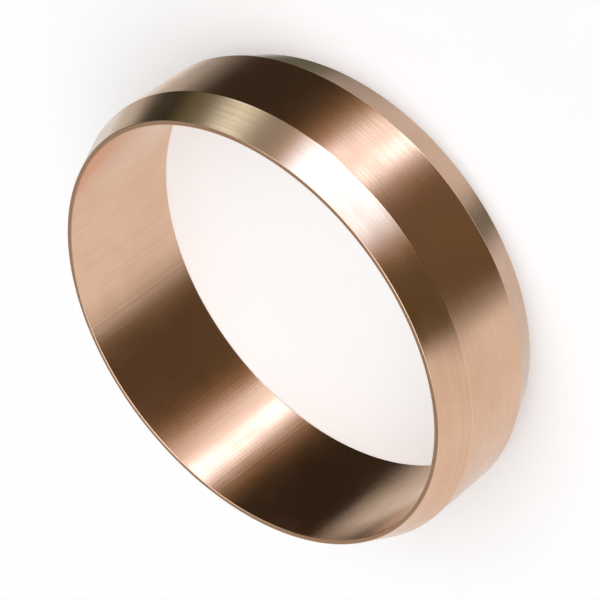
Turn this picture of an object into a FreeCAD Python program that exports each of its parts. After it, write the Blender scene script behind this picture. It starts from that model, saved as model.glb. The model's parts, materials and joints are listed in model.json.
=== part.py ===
import FreeCAD, Part
import math
import os

# Compression olive: a soft copper ring that slides over a tube and is squeezed
# between the nut and the body of a pipe fitting, so that both tapers seal.
# It is turned from one piece of tube and stands on one end, with its axis on Z.

# Driving dimensions in millimetres
TUBE_DIAMETER = 28.0  # outside of the tube that goes through the olive
BORE_CLEARANCE = 0.05  # gap all round between that tube and the bore
RING_WIDTH = 8.8  # end to end, along the tube
RING_WALL = 1.2  # from the bore out to the plain band
TAPER_LENGTH = 2.05  # of each end taper, along the tube
END_LAND = 0.3  # flat left at each end, between bore and taper
BAND_EDGE_ROUND = 0.15  # where each taper meets the band
LAND_EDGE_ROUND = 0.06  # where each taper meets its end land
BORE_EDGE_ROUND = 0.06  # where the bore meets each end land

# Radii and heights that follow from them
bore_radius = TUBE_DIAMETER / 2 + BORE_CLEARANCE
land_radius = bore_radius + END_LAND
band_radius = bore_radius + RING_WALL
band_bottom = TAPER_LENGTH
band_top = RING_WIDTH - TAPER_LENGTH

AXIS_START = FreeCAD.Vector(0, 0, 0)
AXIS_DIRECTION = FreeCAD.Vector(0, 0, 1)
FULL_TURN = 360


def section_corners():
    """The corners of the cut through one side of the ring, each with the round that eases it."""
    return [
        (FreeCAD.Vector(bore_radius, 0, 0), BORE_EDGE_ROUND),
        (FreeCAD.Vector(land_radius, 0, 0), LAND_EDGE_ROUND),
        (FreeCAD.Vector(band_radius, 0, band_bottom), BAND_EDGE_ROUND),
        (FreeCAD.Vector(band_radius, 0, band_top), BAND_EDGE_ROUND),
        (FreeCAD.Vector(land_radius, 0, RING_WIDTH), LAND_EDGE_ROUND),
        (FreeCAD.Vector(bore_radius, 0, RING_WIDTH), BORE_EDGE_ROUND),
    ]


def eased_corner(before, corner, after, radius):
    """The arc that rounds a corner, tangent to the straight sides on both sides of it."""
    to_before = (before - corner).normalize()
    to_after = (after - corner).normalize()
    inward = (to_before + to_after).normalize()
    half_angle = to_before.getAngle(to_after) / 2
    tangent_length = radius / math.tan(half_angle)
    corner_to_arc = radius / math.sin(half_angle) - radius
    return Part.Arc(
        corner + to_before * tangent_length,
        corner + inward * corner_to_arc,
        corner + to_after * tangent_length,
    )


def wall_section():
    """The cut through one side of the ring: straight sides joined by the corner arcs."""
    corners = section_corners()
    arcs = []
    for place, (corner, radius) in enumerate(corners):
        before = corners[place - 1][0]
        after = corners[(place + 1) % len(corners)][0]
        arcs.append(eased_corner(before, corner, after, radius))
    edges = []
    for place, arc in enumerate(arcs):
        next_arc = arcs[(place + 1) % len(arcs)]
        edges.append(arc.toShape())
        edges.append(Part.LineSegment(arc.EndPoint, next_arc.StartPoint).toShape())
    return Part.Face(Part.Wire(edges))


def turned_olive():
    """The whole ring, turned from its section."""
    return wall_section().revolve(AXIS_START, AXIS_DIRECTION, FULL_TURN)


os.makedirs("parts", exist_ok=True)
turned_olive().exportStep("parts/olive.step")
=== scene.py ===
import json
import math
import bpy
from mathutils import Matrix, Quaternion, Vector


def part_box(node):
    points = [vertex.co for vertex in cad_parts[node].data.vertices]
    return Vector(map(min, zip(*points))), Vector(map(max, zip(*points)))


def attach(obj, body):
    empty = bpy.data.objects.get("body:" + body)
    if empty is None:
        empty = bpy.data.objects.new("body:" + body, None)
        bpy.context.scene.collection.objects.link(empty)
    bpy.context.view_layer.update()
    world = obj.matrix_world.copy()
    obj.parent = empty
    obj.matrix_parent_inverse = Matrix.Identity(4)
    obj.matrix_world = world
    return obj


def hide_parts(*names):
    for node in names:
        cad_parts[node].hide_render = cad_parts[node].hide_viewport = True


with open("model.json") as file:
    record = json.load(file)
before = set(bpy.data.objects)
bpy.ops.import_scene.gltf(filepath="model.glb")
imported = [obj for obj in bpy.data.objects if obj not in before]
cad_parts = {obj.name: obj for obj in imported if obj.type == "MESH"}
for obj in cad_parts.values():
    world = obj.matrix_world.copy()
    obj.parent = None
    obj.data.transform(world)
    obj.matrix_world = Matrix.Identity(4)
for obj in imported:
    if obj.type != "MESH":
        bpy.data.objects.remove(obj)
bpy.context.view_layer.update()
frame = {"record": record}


# The olive
# One soft copper ring, turned on a lathe from drawn tube: a plain bore, a narrow flat land and a taper
# at each end, and a plain band between the tapers. It is loose, and stands on its lower land.
TAPER_LENGTH = 0.00205
END_LAND = 0.0003
BAND_EDGE_ROUND = 0.00015
LAND_EDGE_ROUND = 0.00006
BORE_EDGE_ROUND = 0.00006
ARC_STEPS = 8
STRAIGHT_STEP = 0.0006
LEAST_STRAIGHT_STEPS = 2
TURN_STEPS = 384
MM_PER_METRE = 1000

olive_low, olive_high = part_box("olive")
ring_width = olive_high.z - olive_low.z
band_radius = olive_high.x
bore_mount = next(mount for mount in frame["record"]["mounts"] if mount["name"] == "bore")
bore_radius = bore_mount["dims"]["r_mm"] / MM_PER_METRE
land_radius = bore_radius + END_LAND

# Each corner of the wall's section is its radius and height, and the round that eases it.
section_corners = [
    (Vector((bore_radius, 0)), BORE_EDGE_ROUND),
    (Vector((land_radius, 0)), LAND_EDGE_ROUND),
    (Vector((band_radius, TAPER_LENGTH)), BAND_EDGE_ROUND),
    (Vector((band_radius, ring_width - TAPER_LENGTH)), BAND_EDGE_ROUND),
    (Vector((land_radius, ring_width)), LAND_EDGE_ROUND),
    (Vector((bore_radius, ring_width)), BORE_EDGE_ROUND),
]


def eased_corner(before, corner, after, radius):
    """Points round one corner of the section, each with the way it faces and how rubbed it is."""
    to_before = (before - corner).normalized()
    to_after = (after - corner).normalized()
    half_angle = to_before.angle(to_after) / 2
    centre = corner + (to_before + to_after).normalized() * (radius / math.sin(half_angle))
    start = corner + to_before * (radius / math.tan(half_angle)) - centre
    turn = math.pi - 2 * half_angle
    points = []
    for step in range(ARC_STEPS + 1):
        share = step / ARC_STEPS
        across, along = math.cos(turn * share), math.sin(turn * share)
        facing = Vector((start.x * across - start.y * along, start.x * along + start.y * across))
        points.append((centre + facing, facing.normalized(), math.sin(math.pi * share)))
    return points


def wall_section():
    """The section all the way round: rounded corners, and straight sides in even steps."""
    arcs = []
    for place, (corner, radius) in enumerate(section_corners):
        before = section_corners[place - 1][0]
        after = section_corners[(place + 1) % len(section_corners)][0]
        arcs.append(eased_corner(before, corner, after, radius))
    points = []
    for place, arc in enumerate(arcs):
        points += arc
        start, facing, _ = arc[-1]
        end = arcs[(place + 1) % len(arcs)][0][0]
        steps = max(LEAST_STRAIGHT_STEPS, round((end - start).length / STRAIGHT_STEP))
        points += [(start.lerp(end, step / steps), facing, 0.0) for step in range(1, steps)]
    return points


# The order of the two finishes on the ring. A face is the bore's where both its ends face well inward.
OUTSIDE_FINISH = 0
BORE_FINISH = 1
WELL_INWARD = -0.5


def turned_ring(name):
    """The section turned once round the bore's axis."""
    section = wall_section()
    count = len(section)
    corners, facings, rubbed, faces, finishes = [], [], [], [], []
    for turn_step in range(TURN_STEPS):
        angle = 2 * math.pi * turn_step / TURN_STEPS
        across, along = math.cos(angle), math.sin(angle)
        here = turn_step * count
        there = (turn_step + 1) % TURN_STEPS * count
        for place, (point, facing, rub) in enumerate(section):
            after = (place + 1) % count
            in_bore = max(facing.x, section[after][1].x) < WELL_INWARD
            corners.append((point.x * across, point.x * along, point.y))
            facings.append((facing.x * across, facing.x * along, facing.y))
            rubbed.append(rub)
            faces.append((here + place, there + place, there + after, here + after))
            finishes.append(BORE_FINISH if in_bore else OUTSIDE_FINISH)
    mesh = bpy.data.meshes.new(name)
    mesh.from_pydata(corners, [], faces)
    mesh.shade_smooth()
    mesh.normals_split_custom_set_from_vertices(facings)
    mesh.polygons.foreach_set("material_index", finishes)
    mesh.attributes.new("rubbed", "FLOAT", "POINT").data.foreach_set("value", rubbed)
    ring = bpy.data.objects.new(name, mesh)
    bpy.context.scene.collection.objects.link(ring)
    return ring


# Bare copper. The lathe leaves fine lines round the outside, and the bore keeps the drawn tube's skin,
# with faint lines along it. Handling leaves duller, browner patches, and rubs the edges bright.
BRIGHT_COPPER = (0.955, 0.64, 0.458)
DULL_COPPER = (0.89, 0.565, 0.385)
RUBBED_COPPER = (0.965, 0.68, 0.50)
BRIGHT_ROUGHNESS = 0.17
DULL_ROUGHNESS = 0.27
LINE_PITCH = 0.00011
LINE_LENGTH = 0.012
LINE_DEPTH = 0.0000025
LINE_DETAIL = 3.0
PATCHES_PER_METRE = 160
PATCH_DETAIL = 4.0
PATCH_RAGGEDNESS = 0.6
LINES_IN_MOTTLE = 0.3
PATCHES_IN_MOTTLE = 0.7
DULLING_STARTS = 0.4
FULLY_DULL = 0.65
LEAST_RUB = 0.3


def add_node(tree, kind, inputs=None, **settings):
    """A shader node with its settings, and with each named input set to a value or fed by a socket."""
    node = tree.nodes.new(kind)
    for setting, value in settings.items():
        setattr(node, setting, value)
    for name, value in (inputs or {}).items():
        if isinstance(value, bpy.types.NodeSocket):
            tree.links.new(value, node.inputs[name])
        else:
            node.inputs[name].default_value = value
    return node


def maths(tree, operation, first, second=0.0):
    """The result of one sum on two sockets or numbers."""
    return add_node(tree, "ShaderNodeMath", {0: first, 1: second}, operation=operation).outputs[0]


def blended(tree, share, under, over):
    """One colour laid over another by a share. Each colour is a socket or three numbers."""
    mix = add_node(tree, "ShaderNodeMix", {"Factor": share}, data_type="RGBA")
    for socket, colour in ((mix.inputs["A"], under), (mix.inputs["B"], over)):
        if isinstance(colour, bpy.types.NodeSocket):
            tree.links.new(colour, socket)
        else:
            socket.default_value = (*colour, 1.0)
    return mix.outputs["Result"]


def lined_copper(name, grain_round, grain_across):
    """Copper with fine tool lines, as long round the ring and across its wall as the two grains say."""
    material = bpy.data.materials.new(name)
    material.use_nodes = True
    tree = material.node_tree
    shader = tree.nodes["Principled BSDF"]
    place = add_node(tree, "ShaderNodeTexCoord").outputs["Object"]
    axes = add_node(tree, "ShaderNodeSeparateXYZ", {"Vector": place}).outputs
    level = add_node(tree, "ShaderNodeCombineXYZ", {"X": axes["X"], "Y": axes["Y"]}).outputs["Vector"]
    radius = add_node(tree, "ShaderNodeVectorMath", {0: level}, operation="LENGTH").outputs["Value"]
    across_wall = maths(tree, "ADD", axes["Z"], radius)
    line_place = add_node(tree, "ShaderNodeCombineXYZ", {
        "X": maths(tree, "DIVIDE", axes["X"], grain_round),
        "Y": maths(tree, "DIVIDE", axes["Y"], grain_round),
        "Z": maths(tree, "DIVIDE", across_wall, grain_across),
    }).outputs["Vector"]
    lines = add_node(tree, "ShaderNodeTexNoise", {
        "Vector": line_place,
        "Scale": 1.0,
        "Detail": LINE_DETAIL,
    }).outputs["Fac"]
    patches = add_node(tree, "ShaderNodeTexNoise", {
        "Vector": place,
        "Scale": PATCHES_PER_METRE,
        "Detail": PATCH_DETAIL,
        "Roughness": PATCH_RAGGEDNESS,
    }).outputs["Fac"]
    line_mottle = maths(tree, "MULTIPLY", lines, LINES_IN_MOTTLE)
    patch_mottle = maths(tree, "MULTIPLY", patches, PATCHES_IN_MOTTLE)
    mottle = maths(tree, "ADD", line_mottle, patch_mottle)
    rubbed = add_node(tree, "ShaderNodeAttribute", attribute_name="rubbed").outputs["Fac"]
    bare_edge = maths(tree, "MULTIPLY", rubbed, maths(tree, "ADD", patches, LEAST_RUB))
    dullness = add_node(tree, "ShaderNodeMapRange", {
        "Value": maths(tree, "SUBTRACT", mottle, bare_edge),
        "From Min": DULLING_STARTS,
        "From Max": FULLY_DULL,
    }).outputs["Result"]
    handled = blended(tree, dullness, BRIGHT_COPPER, DULL_COPPER)
    colour = blended(tree, bare_edge, handled, RUBBED_COPPER)
    roughness = add_node(tree, "ShaderNodeMapRange", {
        "Value": dullness,
        "To Min": BRIGHT_ROUGHNESS,
        "To Max": DULL_ROUGHNESS,
    }).outputs["Result"]
    relief = add_node(tree, "ShaderNodeBump", {"Height": lines, "Distance": LINE_DEPTH}).outputs["Normal"]
    tree.links.new(colour, shader.inputs["Base Color"])
    tree.links.new(roughness, shader.inputs["Roughness"])
    tree.links.new(relief, shader.inputs["Normal"])
    shader.inputs["Metallic"].default_value = 1.0
    return material


olive = turned_ring("copper_olive")
olive.data.materials.append(lined_copper("turned_copper", LINE_LENGTH, LINE_PITCH))
olive.data.materials.append(lined_copper("drawn_copper", LINE_PITCH, LINE_LENGTH))
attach(olive, "root")
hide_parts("olive")


# The floor
# A plain sheet of white card that the ring stands on, far wider than the picture and faintly lit from
# below. The metal mirrors the studio round it and not this card.
FLOOR_SIZE = 2.0
CARD_WHITE = (0.9, 0.9, 0.9, 1.0)
GLOW_WHITE = (1.0, 1.0, 1.0, 1.0)
CARD_GLOW = 0.27

half = FLOOR_SIZE / 2
floor_corners = [(-half, -half, 0), (half, -half, 0), (half, half, 0), (-half, half, 0)]
floor_mesh = bpy.data.meshes.new("floor")
floor_mesh.from_pydata(floor_corners, [], [(0, 1, 2, 3)])
floor = bpy.data.objects.new("floor", floor_mesh)
bpy.context.scene.collection.objects.link(floor)
floor_card = bpy.data.materials.new("white_card")
floor_card.use_nodes = True
card_shader = floor_card.node_tree.nodes["Principled BSDF"]
card_shader.inputs["Base Color"].default_value = CARD_WHITE
card_shader.inputs["Roughness"].default_value = 1.0
card_shader.inputs["Specular IOR Level"].default_value = 0.0
card_shader.inputs["Emission Color"].default_value = GLOW_WHITE
card_shader.inputs["Emission Strength"].default_value = CARD_GLOW
floor_mesh.materials.append(floor_card)
floor.visible_glossy = False


# The studio
# A white sweep behind the ring, brown boards and a strip light on the camera's side, and a large soft light
# high above the camera. The metal mirrors them, and all but the soft light reach below the floor's level.
SWEEP = (1.03, 1.03, 1.03)
COOL_SWEEP = (1.25, 1.32, 1.4)
PALE_WALL = (0.75, 0.735, 0.72)
LIGHT_WALL = (0.74, 0.74, 0.70)
COOL_WALL = (0.78, 0.86, 0.90)
GREY_WALL = (0.56, 0.59, 0.56)
DIM_WALL = (0.065, 0.06, 0.05)
BROWN_BOARD = (0.16, 0.114, 0.063)
BROWN_EDGE = (0.10, 0.072, 0.036)
OCHRE_BOARD = (0.095, 0.066, 0.028)
GREEN_BOARD = (0.13, 0.14, 0.075)
GREY_BOARD = (0.27, 0.28, 0.25)
SHADED_BOARD = (0.05, 0.036, 0.021)
DARK_BOARD = (0.04, 0.03, 0.018)
DEEP_BOARD = (0.03, 0.03, 0.018)
BLACK_BOARD = (0.016, 0.013, 0.008)
LOW_SHEET = (0.66, 0.66, 0.66)
LOW_GREEN_BOARD = (0.11, 0.12, 0.09)
LOW_GREY_BOARD = (0.32, 0.33, 0.32)
LOW_BROWN_BOARD = (0.06, 0.06, 0.03)
STRIP_LIGHT = (3.4, 4.1, 5.2)
STRIP_GLOW = (0.48, 0.30, 0.14)
BROAD_LIGHT = (1.75, 2.4, 3.3)
SMALL_LIGHT = (1.19, 1.49, 1.44)
SOFT_LIGHT = (1.96, 2.0, 2.08)
LOW_ROOM = (0.62, 0.62, 0.62)
LOW_ROOM_STARTS = -46
LOW_ROOM_FULL = -68
HIGH_ROOM = (0.30, 0.275, 0.24)
HIGH_ROOM_STARTS = 18
HIGH_ROOM_FULL = 30
FULL_TURN = 360

# Azimuth is in degrees from the camera's side, with 90 at +X. Elevation is in degrees from the floor.
walls_by_azimuth = [
    (-180, SWEEP),
    (-176, SWEEP),
    (-158, PALE_WALL),
    (-64, PALE_WALL),
    (-52, BROWN_EDGE),
    (-20, BROWN_BOARD),
    (44, BROWN_BOARD),
    (75, DARK_BOARD),
    (110, DARK_BOARD),
    (147, DIM_WALL),
    (157, SWEEP),
    (168, COOL_SWEEP),
    (180, SWEEP),
]
# Each panel is its azimuth, half width, elevation, half height, softness and colour.
panels = [
    # Low walls and boards, which the bore mirrors
    (-63, 18, -30, 6, 4, PALE_WALL),
    (-7, 28, -30, 6, 4, SHADED_BOARD),
    (82.5, 33, -30, 6, 4, BLACK_BOARD),
    (137, 18, -26, 10, 4, GREY_WALL),
    (150, 19, -33, 4, 4, LIGHT_WALL),
    # Walls and boards nearer the horizon, which the upper taper mirrors
    (-70, 18, 4, 14, 6, PALE_WALL),
    (-21, 24, 6, 14, 5, OCHRE_BOARD),
    (101, 8, -8, 9, 7, GREEN_BOARD),
    (117, 11, -13, 9, 6, DEEP_BOARD),
    (160.5, 14, -25, 6, 4, COOL_WALL),
    # The lowest boards, which the lower taper mirrors
    (-149, 24, -53, 9, 4, LOW_SHEET),
    (154.5, 20.5, -53.5, 10, 5, LOW_GREEN_BOARD),
    (128, 11, -67, 5, 4, LOW_GREY_BOARD),
    (-88, 28, -82, 6, 4, LOW_BROWN_BOARD),
    # The strip light in two lengths, over its glow on the boards beside it
    (34.5, 17.5, -34, 34, 14, STRIP_GLOW),
    (27.2, 4.5, -53, 15, 5.5, STRIP_LIGHT),
    (39.2, 4.2, -21, 17, 5.5, STRIP_LIGHT),
    # The broad light on the horizon over its own glow, and a small light past a grey board
    (25, 33, 3, 10, 8, STRIP_GLOW),
    (63.5, 9, 3, 10, 5, GREY_BOARD),
    (24.6, 22.6, 3, 10, 8, BROAD_LIGHT),
    (81, 7.8, 4, 10, 6.5, SMALL_LIGHT),
    # The soft light, which lights the floor
    (0, 90, 62, 22, 8, SOFT_LIGHT),
]

world = bpy.data.worlds.new("studio")
bpy.context.scene.world = world
world.use_nodes = True
room = world.node_tree
direction = add_node(room, "ShaderNodeTexCoord").outputs["Generated"]
toward = add_node(room, "ShaderNodeSeparateXYZ", {"Vector": direction}).outputs
camera_side = maths(room, "MULTIPLY", toward["Y"], -1.0)
azimuth = maths(room, "DEGREES", maths(room, "ARCTAN2", toward["X"], camera_side))
elevation = maths(room, "DEGREES", maths(room, "ARCSINE", toward["Z"]))


def soft_step(value, start, end):
    """A share that goes smoothly from 0 at the start value to 1 at the end value."""
    limits = {"Value": value, "From Min": start, "From Max": end}
    step = add_node(room, "ShaderNodeMapRange", limits, interpolation_type="SMOOTHSTEP")
    return step.outputs["Result"]


def near_to(value, middle, half_width, softness):
    """A share that is highest at a middle value and falls away smoothly about the half width."""
    away = maths(room, "ABSOLUTE", maths(room, "SUBTRACT", value, middle))
    return soft_step(away, half_width + softness, half_width - softness)


turn_share = maths(room, "DIVIDE", maths(room, "ADD", azimuth, FULL_TURN / 2), FULL_TURN)
walls = add_node(room, "ShaderNodeValToRGB", {"Fac": turn_share})
stops = walls.color_ramp.elements
while len(stops) < len(walls_by_azimuth):
    stops.new(1.0)
for stop, (degrees, colour) in zip(stops, walls_by_azimuth):
    stop.position = (degrees + FULL_TURN / 2) / FULL_TURN
    stop.color = (*colour, 1.0)
low_share = soft_step(elevation, LOW_ROOM_STARTS, LOW_ROOM_FULL)
high_share = soft_step(elevation, HIGH_ROOM_STARTS, HIGH_ROOM_FULL)
studio = blended(room, low_share, walls.outputs["Color"], LOW_ROOM)
studio = blended(room, high_share, studio, HIGH_ROOM)
for panel_azimuth, half_width, panel_elevation, half_height, softness, colour in panels:
    width_share = near_to(azimuth, panel_azimuth, half_width, softness)
    height_share = near_to(elevation, panel_elevation, half_height, softness)
    studio = blended(room, maths(room, "MULTIPLY", width_share, height_share), studio, colour)
room.links.new(studio, room.nodes["Background"].inputs["Color"])


# The camera
# It looks down on the standing ring from the boards' side, and is rolled so that the ring's upper mouth
# points down and to the left.
PICTURE_WIDTH = 0.036
CAMERA_DISTANCE = 0.1792
CAMERA_ELEVATION = math.radians(36.84)
CAMERA_ROLL = math.radians(127.16)
PICTURE_OFFSET = Vector((0.00043, 0.00013, 0))
NEAREST_SEEN_SHARE = 0.01

camera_data = bpy.data.cameras.new("camera")
camera = bpy.data.objects.new("camera", camera_data)
bpy.context.scene.collection.objects.link(camera)
bpy.context.scene.camera = camera
camera_data.lens = camera_data.sensor_width * CAMERA_DISTANCE / PICTURE_WIDTH
camera_data.clip_start = CAMERA_DISTANCE * NEAREST_SEEN_SHARE
ring_centre = (olive_low + olive_high) / 2
back = Vector((0, -math.cos(CAMERA_ELEVATION), math.sin(CAMERA_ELEVATION)))
camera.rotation_mode = "QUATERNION"
camera.rotation_quaternion = (-back).to_track_quat("-Z", "Y") @ Quaternion((0, 0, 1), -CAMERA_ROLL)
camera.location = ring_centre + back * CAMERA_DISTANCE + camera.rotation_quaternion @ PICTURE_OFFSET
bpy.context.scene.view_settings.view_transform = "Standard"
